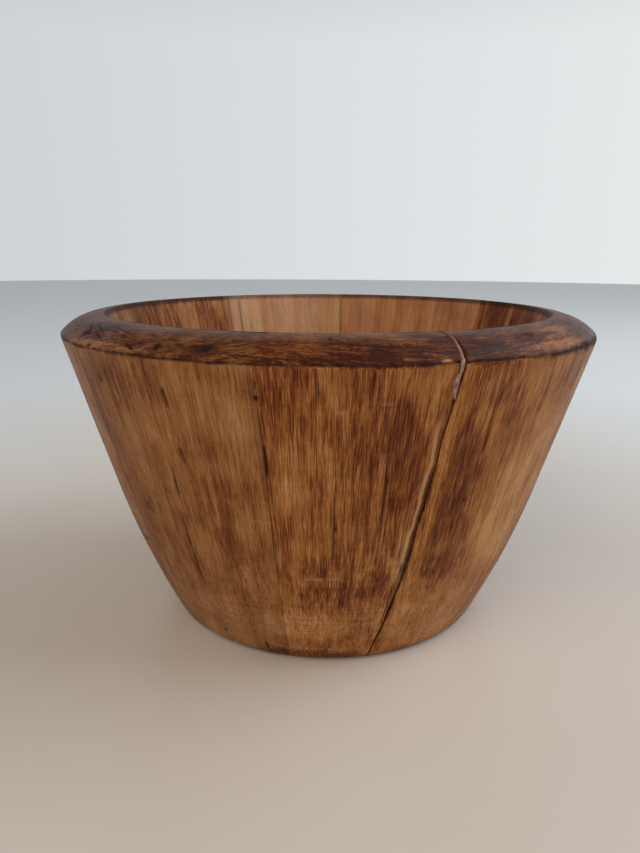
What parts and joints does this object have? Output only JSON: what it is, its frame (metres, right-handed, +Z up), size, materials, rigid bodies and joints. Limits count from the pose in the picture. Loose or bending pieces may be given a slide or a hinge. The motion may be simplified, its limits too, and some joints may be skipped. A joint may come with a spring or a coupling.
{
  "type": "staved wooden bowl",
  "caption": "Turned wooden bowl built from tapered upright staves round a bottom disc, with a rounded rim and one open, partly filled joint.",
  "frame": {"origin": "centre of the foot, on the surface that the bowl stands on", "axes": "+Z up out of the bowl's mouth, -Y towards the side with the open joint to its right of centre, +X to that side's right"},
  "size_m": [0.25, 0.25, 0.147],
  "materials": {
    "stave_wood": "satin",
    "base_wood": "satin",
    "filler": "matt"
  },
  "bodies": {
    "root": {"stave_front": "stave_wood", "stave_front_right": "stave_wood", "stave_right": "stave_wood", "stave_back_right": "stave_wood", "stave_back": "stave_wood", "stave_back_left": "stave_wood", "stave_left": "stave_wood", "stave_front_left": "stave_wood", "base_disc": "base_wood", "crack_filler": "filler"}
  },
  "joints": []
}
